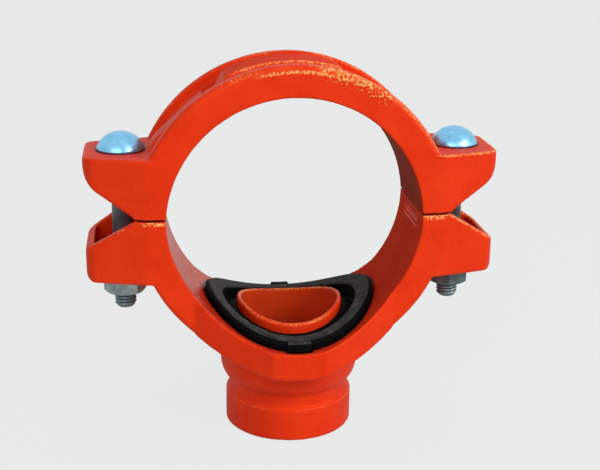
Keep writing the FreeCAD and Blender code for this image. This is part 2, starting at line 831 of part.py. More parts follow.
def make_nut(name, side, turn):
    """A hexagon nut with both ends of its corners chamfered, under its lug."""
    body = new_body(name)
    sides = 6
    corner = size["nut_flats"] / 2 / cosine(as_size(180 / sides))
    corners = []
    for number in range(sides):
        angle = as_size(360 / sides * number)
        corners.append((corner * cosine(angle), corner * sine(angle)))
    sketch = outline_sketch(body, f"{name}_hexagon", "XY_Plane", corners)
    pad(body, sketch, size["nut_height"], reversed_side=True)

    flat = size["nut_face"] / 2
    beyond = corner + SPARE
    depth = (beyond - flat) * tangent(size["nut_chamfer"])
    bottom = -size["nut_height"]
    sketch = outline_sketch(body, f"{name}_corners", "XZ_Plane",
                            ((flat, 0), (beyond, 0), (beyond, -depth)),
                            ((flat, bottom), (beyond, bottom), (beyond, bottom + depth)))
    turned_cut(body, sketch)

    bore_radius = size["thread_core"] / 2 + size["nut_play"]
    sketch = circle_sketch(body, f"{name}_bore", "XY_Plane", (0, 0, bore_radius))
    pocket(body, sketch)
    bind(body, "Placement.Rotation.Angle", turn)
    bind(body, "Placement.Base.x", side * bolt_offset)
    bind(body, "Placement.Base.z", -size["lug_bottom"])
    return checked(body)


nodes = {
    "outlet_housing": make_housing(),
    "gasket": make_gasket(),
    "strap": make_strap(),
}
for word, side in (("left", -1), ("right", 1)):
    nodes[f"bolt_{word}"] = make_bolt(f"bolt_{word}", side)
    nodes[f"nut_{word}"] = make_nut(f"nut_{word}", side, size[f"{word}_nut_turn"])

document.recompute()
for item in document.Objects:
    if "Invalid" in item.State or "Error" in item.State:
        raise RuntimeError(f"{item.Label} is in state {item.State}")

os.makedirs("parts", exist_ok=True)
for name, item in nodes.items():
    item.Label = name
    shape = item.Shape
    if shape.isNull() or not shape.isValid() or len(shape.Solids) != 1:
        raise RuntimeError(f"{name} isn't one valid solid")
    box = shape.BoundBox
    if not 0 < shape.Volume < box.XLength * box.YLength * box.ZLength:
        raise RuntimeError(f"{name} is larger than the box round it")
for name, item in nodes.items():
    item.Shape.exportStep(f"parts/{name}.step")
    box = item.Shape.BoundBox
    print(f"{name}: volume {item.Shape.Volume:.0f}, z {box.ZMin:.2f} to {box.ZMax:.2f}")
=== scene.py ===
import math
from types import SimpleNamespace

import bmesh
import bpy
from mathutils import Matrix, Vector, noise


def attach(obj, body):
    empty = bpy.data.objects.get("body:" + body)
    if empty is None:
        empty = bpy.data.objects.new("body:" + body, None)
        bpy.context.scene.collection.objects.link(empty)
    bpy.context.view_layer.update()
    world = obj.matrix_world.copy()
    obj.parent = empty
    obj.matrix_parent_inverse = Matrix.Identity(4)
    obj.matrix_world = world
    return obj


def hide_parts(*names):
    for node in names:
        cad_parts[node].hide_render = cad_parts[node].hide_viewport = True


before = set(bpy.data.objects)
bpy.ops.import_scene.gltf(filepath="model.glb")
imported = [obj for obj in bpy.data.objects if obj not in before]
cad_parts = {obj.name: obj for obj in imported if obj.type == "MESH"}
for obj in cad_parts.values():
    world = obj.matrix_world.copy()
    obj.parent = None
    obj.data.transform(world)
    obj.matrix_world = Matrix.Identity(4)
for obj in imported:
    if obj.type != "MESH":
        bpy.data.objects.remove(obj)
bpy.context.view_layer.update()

MM = 0.001


# The lower casting. It is ductile iron poured in a sand mould, so its edges are soft and
# its skin is slightly uneven, and it was dipped whole in a glossy orange-red paint.

SAND_CELL = 0.9 * MM
CASTING_EASE = 3
EASE_SHARE = 0.5
WELD_REACH = 0.001 * MM
CASTING_SWELL = 0.16 * MM
SWELL_SIZE = 9 * MM
EDGE_GAIN = 8.0
GLINT_EDGE_GAIN = 2.0
FLAT_FACING = 0.93
LUG_ROOT = 58 * MM
LUG_HALF_HEIGHT = 34 * MM
ROOT_PASSES = 24
SEAM_REACH = 0.6 * MM
SEAM_HALF = 0.4 * MM
BOLT_OFFSET = 76.7 * MM
BORE_RADIUS = 57.6 * MM
STRAP_ARC_DROP = 4 * MM
WATERWAY_TOP = 21.4 * MM
WATERWAY_FLARE = 0.028


def link_piece(name, mesh, body, node):
    """Put a finished mesh in the scene at the origin, on its body, in place of its solid."""
    piece = bpy.data.objects.new(name, mesh)
    bpy.context.scene.collection.objects.link(piece)
    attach(piece, body)
    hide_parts(node)


def eased_copy(node, cell, passes):
    """A copy of a CAD solid whose edges are eased all round, in quads of one cell size."""
    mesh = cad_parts[node].data.copy()
    form = bmesh.new()
    form.from_mesh(mesh)
    bmesh.ops.remove_doubles(form, verts=form.verts, dist=WELD_REACH)
    form.to_mesh(mesh)
    form.free()
    pattern = bpy.data.objects.new(node + "_pattern", mesh)
    blank = bpy.data.objects.new(node + "_blank", mesh)
    for item in (pattern, blank):
        bpy.context.scene.collection.objects.link(item)
    skin = blank.modifiers.new("skin", "REMESH")
    skin.mode = "VOXEL"
    skin.voxel_size = cell
    skin.use_smooth_shade = True
    fit = blank.modifiers.new("fit", "SHRINKWRAP")
    fit.target = pattern
    fit.wrap_method = "NEAREST_SURFACEPOINT"
    ease = blank.modifiers.new("ease", "SMOOTH")
    ease.factor = EASE_SHARE
    ease.iterations = passes
    graph = bpy.context.evaluated_depsgraph_get()
    eased = bpy.data.meshes.new_from_object(blank.evaluated_get(graph))
    for item in (pattern, blank):
        bpy.data.objects.remove(item)
    bpy.data.meshes.remove(mesh)
    eased.materials.clear()
    return eased


def blend_lug_roots(mesh):
    """Let the ring's flat front and back run softly into the slanting sides of the lugs."""
    form = bmesh.new()
    form.from_mesh(mesh)
    form.normal_update()
    flat = {vert for vert in form.verts if abs(vert.normal.y) > FLAT_FACING}
    roots = [vert for vert in flat
             if abs(vert.co.x) > LUG_ROOT and abs(vert.co.z) < LUG_HALF_HEIGHT
             and all(edge.other_vert(vert) in flat for edge in vert.link_edges)]
    for _ in range(ROOT_PASSES):
        bmesh.ops.smooth_vert(form, verts=roots, factor=EASE_SHARE,
                              use_axis_x=True, use_axis_y=True, use_axis_z=True)
    form.to_mesh(mesh)
    form.free()


def unit_share(value):
    """The value, kept between nought and one."""
    return min(max(value, 0.0), 1.0)


def weather(mesh):
    """Mark how sharp the edges are, and which sharp edges face up for the painted highlights, then sink the
    skin unevenly.
    """
    form = bmesh.new()
    form.from_mesh(mesh)
    form.normal_update()
    sharpness = form.verts.layers.float.new("edge")
    # The upward sharp edges are where the golden painted highlights go.
    upward = form.verts.layers.float.new("glint_edge")
    moves = []
    for vert in form.verts:
        around = [edge.other_vert(vert).co for edge in vert.link_edges]
        middle = sum(around, Vector()) / len(around)
        rise = (vert.co - middle).dot(vert.normal) / SAND_CELL
        vert[sharpness] = unit_share(rise * EDGE_GAIN)
        vert[upward] = vert[sharpness] * unit_share(vert.normal.z * GLINT_EDGE_GAIN)
        share = (1 + noise.noise(vert.co / SWELL_SIZE)) / 2
        moves.append(vert.normal * (-CASTING_SWELL * share))
    for vert, move in zip(form.verts, moves):
        vert.co += move
    form.to_mesh(mesh)
    form.free()


def open_seam(mesh, side):
    """Draw the parting face back a little, so that a thin dark gap shows between the castings."""
    for vert in mesh.vertices:
        level = vert.co.z * side
        if 0 <= level < SEAM_REACH:
            vert.co.z = side * (SEAM_HALF + level * (1 - SEAM_HALF / SEAM_REACH))


def feed(tree, socket, value):
    """Link an output to a socket, or set a number there."""
    if isinstance(value, (int, float)):
        socket.default_value = value
    else:
        tree.links.new(value, socket)


def place_node(tree):
    return tree.nodes.new("ShaderNodeTexCoord").outputs["Object"]


def attribute_node(tree, name):
    node = tree.nodes.new("ShaderNodeAttribute")
    node.attribute_name = name
    return node.outputs["Fac"]


def math_node(tree, operation, first, second=0.0, clamp=False):
    """A Math node with a link or a number at each input."""
    node = tree.nodes.new("ShaderNodeMath")
    node.operation = operation
    node.use_clamp = clamp
    for socket, value in zip(node.inputs, (first, second)):
        feed(tree, socket, value)
    return node.outputs[0]


def product_node(tree, *shares):
    """All the shares multiplied together."""
    product = shares[0]
    for share in shares[1:]:
        product = math_node(tree, "MULTIPLY", product, share)
    return product


def distance_node(tree, first, second):
    """The distance from an axis, from the two coordinates across it."""
    squares = [math_node(tree, "MULTIPLY", item, item) for item in (first, second)]
    return math_node(tree, "SQRT", math_node(tree, "ADD", *squares))


RISING = (0.0, 1.0)
FALLING = (1.0, 0.0)


def range_node(tree, value, limits, ends=RISING):
    """A value between two limits, turned into a number between two ends."""
    node = tree.nodes.new("ShaderNodeMapRange")
    labels = ("From Min", "From Max", "To Min", "To Max")
    for label, number in zip(labels, (*limits, *ends)):
        node.inputs[label].default_value = number
    tree.links.new(value, node.inputs["Value"])
    return node.outputs["Result"]


def band_node(tree, value, low, high, blur):
    """One between the two limits, with soft ends outside them."""
    return product_node(tree, range_node(tree, value, (low - blur, low)),
                        range_node(tree, value, (high, high + blur), FALLING))


def noise_node(tree, place, scale, detail, roughness):
    node = tree.nodes.new("ShaderNodeTexNoise")
    node.inputs["Detail"].default_value = detail
    node.inputs["Roughness"].default_value = roughness
    feed(tree, node.inputs["Scale"], scale)
    tree.links.new(place, node.inputs["Vector"])
    return node.outputs["Fac"]


def ramp_node(tree, value, stops):
    node = tree.nodes.new("ShaderNodeValToRGB")
    ramp = node.color_ramp
    while len(ramp.elements) < len(stops):
        ramp.elements.new(0.5)
    for element, (position, colour) in zip(ramp.elements, stops):
        element.position = position
        element.color = (*colour, 1)
    tree.links.new(value, node.inputs["Fac"])
    return node.outputs["Color"]


def blend_node(tree, colour, share, kind, tint):
    """The colour blended with a tint where the share is one."""
    node = tree.nodes.new("ShaderNodeMix")
    node.data_type = "RGBA"
    node.blend_type = kind
    tree.links.new(share, node.inputs["Factor"])
    tree.links.new(colour, node.inputs["A"])
    node.inputs["B"].default_value = (*tint, 1)
    return node.outputs["Result"]


def shade_node(tree, colour, share, tint):
    """The colour multiplied by a tint where the share is one."""
    return blend_node(tree, colour, share, "MULTIPLY", tint)


def bump(tree, shader, height, distance):
    node = tree.nodes.new("ShaderNodeBump")
    node.inputs["Distance"].default_value = distance
    tree.links.new(height, node.inputs["Height"])
    tree.links.new(node.outputs["Normal"], shader.inputs["Normal"])


def new_material(name):
    material = bpy.data.materials.new(name)
    material.use_nodes = True
    tree = material.node_tree
    return material, tree, tree.nodes["Principled BSDF"]


# Each noise is given as its scale, detail and roughness. The first two of the grain's have
# no scale here, because each material sets its own.

FINE_GRAIN = (4, 0.6)
FINE_HEIGHT = 0.25
SLOW_WAVES = (2, 0.5)
WAVE_HEIGHT = 0.8
PIMPLE_CELLS = 0.45
PIMPLE_REACH = 0.36
PIMPLE_GAIN = 4.0
PIMPLE_PATCHES = (60.0, 3, 0.5)
PATCH_LEVEL = 0.50
PATCH_GAIN = 8.0


def build_grain_group():
    """Cast or moulded grain: pits, slow waves and patches of pimples, as a height and a mask."""
    group = bpy.data.node_groups.new("moulded_grain", "ShaderNodeTree")
    for label in ("Grain Scale", "Wave Scale", "Pimple Amount"):
        group.interface.new_socket(label, in_out="INPUT", socket_type="NodeSocketFloat")
    for label in ("Height", "Pimples"):
        group.interface.new_socket(label, in_out="OUTPUT", socket_type="NodeSocketFloat")
    given = group.nodes.new("NodeGroupInput").outputs
    result = group.nodes.new("NodeGroupOutput").inputs
    place = place_node(group)
    cells = group.nodes.new("ShaderNodeTexVoronoi")
    cells.feature = "F1"
    group.links.new(math_node(group, "MULTIPLY", given["Grain Scale"], PIMPLE_CELLS), cells.inputs["Scale"])
    group.links.new(place, cells.inputs["Vector"])
    near = math_node(group, "SUBTRACT", PIMPLE_REACH, cells.outputs["Distance"], clamp=True)
    dots = math_node(group, "MULTIPLY", near, PIMPLE_GAIN, clamp=True)
    patch = noise_node(group, place, *PIMPLE_PATCHES)
    patch = math_node(group, "SUBTRACT", patch, PATCH_LEVEL, clamp=True)
    patch = math_node(group, "MULTIPLY", patch, PATCH_GAIN, clamp=True)
    pimples = product_node(group, dots, patch)
    fine = noise_node(group, place, given["Grain Scale"], *FINE_GRAIN)
    slow = noise_node(group, place, given["Wave Scale"], *SLOW_WAVES)
    height = math_node(group, "ADD", math_node(group, "MULTIPLY", fine, FINE_HEIGHT),
                       math_node(group, "MULTIPLY", slow, WAVE_HEIGHT))
    height = math_node(group, "ADD", height, product_node(group, pimples, given["Pimple Amount"]))
    group.links.new(height, result["Height"])
    group.links.new(pimples, result["Pimples"])
    return group


grain_group = build_grain_group()


def grain_node(tree, values):
    node = tree.nodes.new("ShaderNodeGroup")
    node.node_tree = grain_group
    for label, value in values.items():
        node.inputs[label].default_value = value
    return node.outputs


PARTING_STEP = (0.0, 0.02 * MM)


def spot_nodes(tree):
    """Where a point lies: its coordinates, its depth, and its distances from the two axes.

    The strap's arc is struck from a centre that lies below the run's axis, so above the
    parting plane the distance from the run's axis is taken from there.
    """
    place = place_node(tree)
    split = tree.nodes.new("ShaderNodeSeparateXYZ")
    tree.links.new(place, split.inputs["Vector"])
    x, y, z = split.outputs
    arc_shift = range_node(tree, z, PARTING_STEP, (0.0, STRAP_ARC_DROP))
    return SimpleNamespace(
        place=place, x=x, y=y, z=z,
        depth=math_node(tree, "SUBTRACT", 0.0, z),
        plan_radius=distance_node(tree, x, y),
        run_radius=distance_node(tree, x, math_node(tree, "ADD", z, arc_shift)),
    )


BELOW_GASKET = (39 * MM, 40 * MM)
WATERWAY_FADE = (0.3 * MM, 0.8 * MM)
WATERWAY_SHADE_TINT = (0.76, 1.30, 1.60)
BORE_FADE = (BORE_RADIUS + 0.1 * MM, BORE_RADIUS + 0.4 * MM)
OUTSIDE_GASKET = (39.5 * MM, 40.5 * MM)
BORE_SHADE_TINT = (0.72, 0.80, 0.90)
SHADED_BORE_SIDE = (20 * MM, 40 * MM)
SHADED_BORE_HEIGHT = (0.0, 2 * MM)
SHADED_BORE_TINT = (0.50, 0.90, 1.60)


def paint_inside(tree, colour, spot):
    """Painted shade: a darker, browner red in the waterway, the bore and, darkest, the bore's upper right;
    and mark where the bore is.
    """
    flare = math_node(tree, "MULTIPLY", spot.depth, WATERWAY_FLARE)
    wall = math_node(tree, "ADD", flare, WATERWAY_TOP)
    beyond = math_node(tree, "SUBTRACT", spot.plan_radius, wall)
    in_waterway = product_node(tree, range_node(tree, beyond, WATERWAY_FADE, FALLING),
                               range_node(tree, spot.depth, BELOW_GASKET))
    in_bore = product_node(tree, range_node(tree, spot.run_radius, BORE_FADE, FALLING),
                           range_node(tree, spot.plan_radius, OUTSIDE_GASKET))
    shaded_bore = product_node(tree, range_node(tree, spot.x, SHADED_BORE_SIDE),
                             range_node(tree, spot.z, SHADED_BORE_HEIGHT), in_bore)
    # Painted shade in the hollows: the waterway, the bore, and the bore's upper right under the strap.
    colour = shade_node(tree, colour, in_waterway, WATERWAY_SHADE_TINT)
    colour = shade_node(tree, colour, in_bore, BORE_SHADE_TINT)
    return shade_node(tree, colour, shaded_bore, SHADED_BORE_TINT), in_bore


# Painted highlights: golden specks on the upward sharp edges, more of them to the right, fewer on the neck
# and the collar, none in the bore.
SPECKLE = (1500.0, 2, 0.6)
SPECKLE_LEVEL = (0.50, 0.56)
DRIFT = (33.0, 2, 0.5)
DRIFT_LEAN = 2.4
DRIFT_LEVEL = (0.46, 0.60)
GLINT_EDGE_LEVEL = (0.12, 0.55)
NECK_DEPTH = (60 * MM, 66 * MM)
NECK_GLINTS = (1.0, 0.25)
OUTSIDE_BORE = (61 * MM, 64 * MM)
COLLAR_REACH = (30 * MM, 31 * MM)
COLLAR_GLINTS = (0.5, 0.0)


def painted_glints_on_edges(tree, spot, pimples):
    """Painted golden highlights on upper edges, mostly at the right, with none on the bore's."""
    speckle = range_node(tree, noise_node(tree, spot.place, *SPECKLE), SPECKLE_LEVEL)
    lean = math_node(tree, "MULTIPLY", spot.x, DRIFT_LEAN)
    drift = math_node(tree, "ADD", noise_node(tree, spot.place, *DRIFT), lean)
    speckle = product_node(tree, speckle, range_node(tree, drift, DRIFT_LEVEL))
    off_bore = math_node(tree, "MAXIMUM", range_node(tree, spot.run_radius, OUTSIDE_BORE),
                         range_node(tree, spot.plan_radius, COLLAR_REACH, COLLAR_GLINTS))
    return product_node(tree, math_node(tree, "MAXIMUM", speckle, pimples),
                        range_node(tree, attribute_node(tree, "glint_edge"), GLINT_EDGE_LEVEL),
                        range_node(tree, spot.depth, NECK_DEPTH, NECK_GLINTS), off_bore)


# Painted highlights: a patch of golden glints on the strap's right shoulder, and rows along its crown's
# edge and the parting edge.
STRAP_FRONT = (-20 * MM, -17 * MM)
STRAP_UPPER_HALF = (20 * MM, 30 * MM)
SHOULDER_SIDE = (14 * MM, 34 * MM, 10 * MM)
SHOULDER_RIM = (65.5 * MM, 70.5 * MM)
SHOULDER_START = (0.05, 0.25)
CROWN_SIDE = (-13 * MM, 26 * MM, 6 * MM)
CROWN_EDGE = (68.6 * MM, 69.4 * MM, 0.5 * MM)
PARTING_EDGE = (1.0 * MM, 2.0 * MM, 0.6 * MM)
PARTING_SIDE = (59 * MM, 67 * MM, 1.5 * MM)
GLINT_GRAIN = (820.0, 2, 0.6)
GLINT_SPREAD = 0.13
PATCH_GLINT_LEVEL = (0.63, 0.67)
ROW_GLINT_LEVEL = (0.46, 0.54)


def painted_glints_on_faces(tree, spot):
    """Painted highlights: a patch of glints on the strap's right shoulder, and rows on its crown and the
    parting.
    """
    strap_front = product_node(tree, range_node(tree, spot.y, STRAP_FRONT, FALLING),
                               range_node(tree, spot.z, STRAP_UPPER_HALF))
    shoulder = product_node(tree, band_node(tree, spot.x, *SHOULDER_SIDE),
                            range_node(tree, spot.run_radius, SHOULDER_RIM), strap_front)
    crown_edge = product_node(tree, band_node(tree, spot.x, *CROWN_SIDE),
                              band_node(tree, spot.run_radius, *CROWN_EDGE), strap_front)
    parting_edge = product_node(tree, band_node(tree, spot.depth, *PARTING_EDGE),
                                band_node(tree, spot.run_radius, *PARTING_SIDE))
    glint_grain = noise_node(tree, spot.place, *GLINT_GRAIN)
    spread = math_node(tree, "MULTIPLY", shoulder, GLINT_SPREAD)
    spread = math_node(tree, "ADD", glint_grain, spread)
    patch = product_node(tree, range_node(tree, spread, PATCH_GLINT_LEVEL),
                         range_node(tree, shoulder, SHOULDER_START))
    rows = product_node(tree, range_node(tree, glint_grain, ROW_GLINT_LEVEL),
                        math_node(tree, "MAXIMUM", crown_edge, parting_edge))
    return patch, rows


PARTING_FADE = (SEAM_HALF + 0.02 * MM, SEAM_HALF + 0.12 * MM)
PARTING_SHADE_TINT = (0.20, 0.30, 0.40)
HEAD_SHADE_RIM = (11.1 * MM, 11.8 * MM)
LUG_TOP = (20 * MM, 21 * MM)
HEAD_SHADE_TINT = (0.12, 0.10, 0.12)


def paint_seam_and_head_shade(tree, colour, spot):
    """Painted shade: darken the parting faces, where the seam's shade falls, and a ring on the lugs' tops
    right under the bolts' heads.
    """
    from_parting = math_node(tree, "ABSOLUTE", spot.z)
    # Painted shade in the seam between the castings.
    colour = shade_node(tree, colour, range_node(tree, from_parting, PARTING_FADE, FALLING), PARTING_SHADE_TINT)
    # Painted contact shadow in a ring under each bolt's head.
    across = math_node(tree, "SUBTRACT", math_node(tree, "ABSOLUTE", spot.x), BOLT_OFFSET)
    from_bolt = distance_node(tree, across, spot.y)
    under_head = product_node(tree, range_node(tree, from_bolt, HEAD_SHADE_RIM, FALLING),
                              range_node(tree, spot.z, LUG_TOP))
    return shade_node(tree, colour, under_head, HEAD_SHADE_TINT)


PAINT_GRAIN = {"Grain Scale": 1500.0, "Wave Scale": 130.0, "Pimple Amount": 0.7}
PAINT_RELIEF = 0.30 * MM
GLINT_PATCH_RELIEF = 0.6
PAINT_CLOUDS = (45.0, 5, 0.55)
PAINT_REDS = (
    (0.30, (0.710, 0.026, 0.004)),
    (0.50, (0.775, 0.032, 0.005)),
    (0.75, (0.835, 0.042, 0.006)),
)
GLINT_GOLD = (1.0, 0.48, 0.14)
PAINT_SPECULAR = 0.24
PAINT_SPECULAR_TINT = (1.0, 0.60, 0.25, 1)
PAINT_HAZE = 0.40
HAZE_CLOUDS = (160.0, 3, 0.5)
HAZE_SWING = 0.20
BORE_SIDES = (-30 * MM, 30 * MM)
BORE_HAZE = (-0.24, 0.35)
PAD_SIDES = (-10 * MM, 10 * MM, 1 * MM)
PAD_TOP = (71.0 * MM, 71.6 * MM)
PAD_HEIGHT = (50 * MM, 52 * MM)
PAD_HAZE = (0.0, 0.25)
PIMPLE_GLOSS = 0.26
EDGE_GLOSS = 0.16


def paint_haze(tree, spot, in_bore, pimples):
    """Roughness: low in the bore's left, on pimples and edges, high in its right and on the pad."""
    clouds = math_node(tree, "MULTIPLY", noise_node(tree, spot.place, *HAZE_CLOUDS), HAZE_SWING)
    in_bore = product_node(tree, range_node(tree, spot.x, BORE_SIDES, BORE_HAZE), in_bore)
    on_pad = product_node(tree, band_node(tree, spot.y, *PAD_SIDES),
                          range_node(tree, spot.run_radius, PAD_TOP, PAD_HAZE),
                          range_node(tree, spot.z, PAD_HEIGHT))
    haze = math_node(tree, "ADD", clouds, PAINT_HAZE)
    haze = math_node(tree, "ADD", haze, math_node(tree, "ADD", in_bore, on_pad))
    wet = math_node(tree, "MULTIPLY", pimples, PIMPLE_GLOSS)
    worn = math_node(tree, "MULTIPLY", attribute_node(tree, "edge"), EDGE_GLOSS)
    return math_node(tree, "SUBTRACT", haze, math_node(tree, "ADD", wet, worn), clamp=True)


def paint_material():
    """Glossy dip paint, with golden painted highlights on upper edges, the strap's right shoulder, its
    crown and the parting.
    """
    material, tree, shader = new_material("orange_red_paint")
    grain = grain_node(tree, PAINT_GRAIN)
    spot = spot_nodes(tree)
    colour = ramp_node(tree, noise_node(tree, spot.place, *PAINT_CLOUDS), PAINT_REDS)
    colour, in_bore = paint_inside(tree, colour, spot)
    patch, rows = painted_glints_on_faces(tree, spot)
    glints = math_node(tree, "MAXIMUM", painted_glints_on_edges(tree, spot, grain["Pimples"]),
                      math_node(tree, "MAXIMUM", patch, rows))
    # Golden painted highlights are blended over the paint's red.
    colour = blend_node(tree, colour, glints, "MIX", GLINT_GOLD)
    colour = paint_seam_and_head_shade(tree, colour, spot)
    tree.links.new(colour, shader.inputs["Base Color"])
    tree.links.new(paint_haze(tree, spot, in_bore, grain["Pimples"]), shader.inputs["Roughness"])
    shader.inputs["Specular IOR Level"].default_value = PAINT_SPECULAR
    shader.inputs["Specular Tint"].default_value = PAINT_SPECULAR_TINT
    raised = math_node(tree, "MULTIPLY", patch, GLINT_PATCH_RELIEF)
    bump(tree, shader, math_node(tree, "ADD", grain["Height"], raised), PAINT_RELIEF)
    return material


paint = paint_material()


def painted_casting(name, node, body, side):
    """A casting with soft edges, an uneven skin and its paint, above or below the parting."""
    mesh = eased_copy(node, SAND_CELL, CASTING_EASE)
    blend_lug_roots(mesh)
    weather(mesh)
    open_seam(mesh, side)
    mesh.materials.append(paint)
    link_piece(name, mesh, body, node)


painted_casting("lower_casting", "outlet_housing", "housing", -1)


# The gasket. It is one moulding of black rubber, a saddle ring that stands proud of its
# recess, with a thin lip up round the collar and a tab at the front and the back.

RUBBER_CELL = 0.42 * MM
RUBBER_EASE = 2
GASKET_RADIUS = 39.5 * MM
GASKET_CROWN = 53.0 * MM
GASKET_BEVEL = 2.4 * MM
BEVEL_SLOPE = 0.9
TAB_START = GASKET_RADIUS + 0.1 * MM
SKIRT_RADIUS = 25.1 * MM
SKIRT_TOP = 59.05 * MM
SKIRT_SKIN = 0.4 * MM
LIP_SPREAD = 5.2 * MM
LIP_RISE = 4.2 * MM
LIP_CURVE = 0.7
RUBBER_GRAIN = {"Grain Scale": 1500.0, "Wave Scale": 220.0, "Pimple Amount": 0.4}
RUBBER_RELIEF = 0.15 * MM
RUBBER_DUST = (260.0, 6, 0.7)
RUBBER_BLACKS = (
    (0.35, (0.018, 0.018, 0.018)),
    (0.55, (0.045, 0.046, 0.044)),
    (0.75, (0.115, 0.116, 0.110)),
)
BELOW_CROWN = (GASKET_CROWN + 0.4 * MM, GASKET_CROWN + 0.9 * MM)
BELOW_CROWN_SHADE_TINT = (0.04, 0.04, 0.05)
RUBBER_SPECULAR = 0.05
RUBBER_HAZE = 0.45
DUST_HAZE = 0.30


def rubber_material():
    """Dusty black rubber, with painted shade that makes it deep black below the ring's crown."""
    material, tree, shader = new_material("gasket_rubber")
    spot = spot_nodes(tree)
    dust = noise_node(tree, spot.place, *RUBBER_DUST)
    colour = ramp_node(tree, dust, RUBBER_BLACKS)
    # Painted shade: the rubber below the crown is darkened to deep black.
    colour = shade_node(tree, colour, range_node(tree, spot.run_radius, BELOW_CROWN), BELOW_CROWN_SHADE_TINT)
    tree.links.new(colour, shader.inputs["Base Color"])
    haze = math_node(tree, "ADD", math_node(tree, "MULTIPLY", dust, DUST_HAZE), RUBBER_HAZE)
    tree.links.new(haze, shader.inputs["Roughness"])
    shader.inputs["Specular IOR Level"].default_value = RUBBER_SPECULAR
    bump(tree, shader, grain_node(tree, RUBBER_GRAIN)["Height"], RUBBER_RELIEF)
    return material


def shape_gasket(mesh):
    """Slope the ring's outer shoulder, and raise the skirt to a lip against the collar."""
    for vert in mesh.vertices:
        spot = vert.co
        plan = math.hypot(spot.x, spot.y)
        run = math.hypot(spot.x, spot.z)
        shoulder = GASKET_CROWN + max(plan - GASKET_RADIUS + GASKET_BEVEL, 0) * BEVEL_SLOPE
        level = max(run, shoulder) if plan < TAB_START else run
        if plan < SKIRT_RADIUS + LIP_SPREAD and run < SKIRT_TOP + SKIRT_SKIN:
            share = 1 - (plan - SKIRT_RADIUS) / LIP_SPREAD
            level = run - LIP_RISE * min(share, 1.0) ** LIP_CURVE
        spot.z = -math.sqrt(level ** 2 - spot.x ** 2)


gasket_mesh = eased_copy("gasket", RUBBER_CELL, RUBBER_EASE)
shape_gasket(gasket_mesh)
gasket_mesh.materials.append(rubber_material())
link_piece("saddle_gasket", gasket_mesh, "housing", "gasket")


# The strap. It is the upper casting, of the same iron and paint as the lower one, and
# two bolts through its solid lugs pull it down on the pipe.

painted_casting("upper_strap", "strap", "strap", 1)


# The bolts. Each is a forged track bolt with a domed head and an oval neck that stops it
# from turning, a plain shank and a rolled thread. The head's zinc plate carries a painted
# reflection of a blue sky, so it is bluer and brighter than the shank's, and the shank's is
# a darker copy of the same zinc, with the lugs' shade painted into it.

HEAD_SEAT = 27.2 * MM
HEAD_RADIUS = 10.85 * MM
HEAD_EDGE = 0.9 * MM
HEAD_LIP = 0.25 * MM
HEAD_HEIGHT = 8.2 * MM
DOME_STEPS = 18
DOME_SHARE = 0.985
SHANK_RADIUS = 4.95 * MM
CORE_RADIUS = 4.3 * MM
BOLT_STEPS = 64
BOLT_TIP = 0.9 * MM
BOLT_END = -47.5 * MM
THREAD_TOP = -15.8 * MM
THREAD_RUNOUT = 0.6 * MM
PITCH = 1.5 * MM
TURN_STEPS = 40
RIDGE_ROOT = CORE_RADIUS - 0.2 * MM
RIDGE_FOOT = 0.68
RIDGE_CREST = 0.08
ZINC_CLOUDS = (300.0, 5, 0.6)
ZINC_LEVELS = (0.30, 0.55, 0.80)
ZINC_VEIL = 0.25
ZINC_SCRATCHES = (900.0, 6, 0.75)
SCRATCH_DEPTH = 0.04 * MM
SKY_REFLECTION_ZINC = (
    (0.20, 0.54, 0.84),
    (0.27, 0.65, 0.97),
    (0.40, 0.76, 1.00),
)
SHANK_SHADE_ZINC = (
    (0.13, 0.17, 0.19),
    (0.22, 0.28, 0.30),
    (0.35, 0.42, 0.44),
)


def zinc_material(name, tones, metallic, haze):
    """Zinc plate: a cool metal with soft clouds in its colour and its polish."""
    material, tree, shader = new_material(name)
    place = place_node(tree)
    clouds = noise_node(tree, place, *ZINC_CLOUDS)
    colour = ramp_node(tree, clouds, tuple(zip(ZINC_LEVELS, tones)))
    tree.links.new(colour, shader.inputs["Base Color"])
    shader.inputs["Metallic"].default_value = metallic
    veil = math_node(tree, "MULTIPLY", clouds, ZINC_VEIL)
    tree.links.new(math_node(tree, "ADD", veil, haze), shader.inputs["Roughness"])
    bump(tree, shader, noise_node(tree, place, *ZINC_SCRATCHES), SCRATCH_DEPTH)
    return material


# The heads' zinc carries a painted blue sky reflection; the shank's is a darker copy with painted shade.
painted_sky_zinc = zinc_material("painted_sky_zinc", SKY_REFLECTION_ZINC, metallic=0.85, haze=0.16)
shaded_shank_zinc = zinc_material("shaded_shank_zinc", SHANK_SHADE_ZINC, metallic=0.55, haze=0.30)


def dome_profile():
    """The head's outline from its flat seat over the edge to the crown."""
    rise = HEAD_HEIGHT - HEAD_EDGE
    radius = (HEAD_RADIUS ** 2 + rise ** 2) / (2 * rise)
    half_angle = math.asin(HEAD_RADIUS / radius) * DOME_SHARE
    points = [(SHANK_RADIUS, 0), (HEAD_RADIUS - HEAD_LIP, 0), (HEAD_RADIUS, HEAD_LIP),
              (HEAD_RADIUS, HEAD_EDGE - HEAD_LIP)]
    for number in range(DOME_STEPS):
        angle = half_angle * (1 - number / DOME_STEPS)
        points.append((radius * math.sin(angle), HEAD_HEIGHT - radius * (1 - math.cos(angle))))
    points.append((0, HEAD_HEIGHT))
    return points


def spun(form, profile, centre):
    """Turn an open profile of (radius, height) points about the upright line at centre."""
    points = [form.verts.new(centre + Vector((radius, 0, height))) for radius, height in profile]
    edges = [form.edges.new(pair) for pair in zip(points, points[1:])]
    bmesh.ops.spin(form, geom=points + edges, cent=centre, axis=(0, 0, 1),
                   angle=2 * math.pi, steps=BOLT_STEPS, use_merge=True)


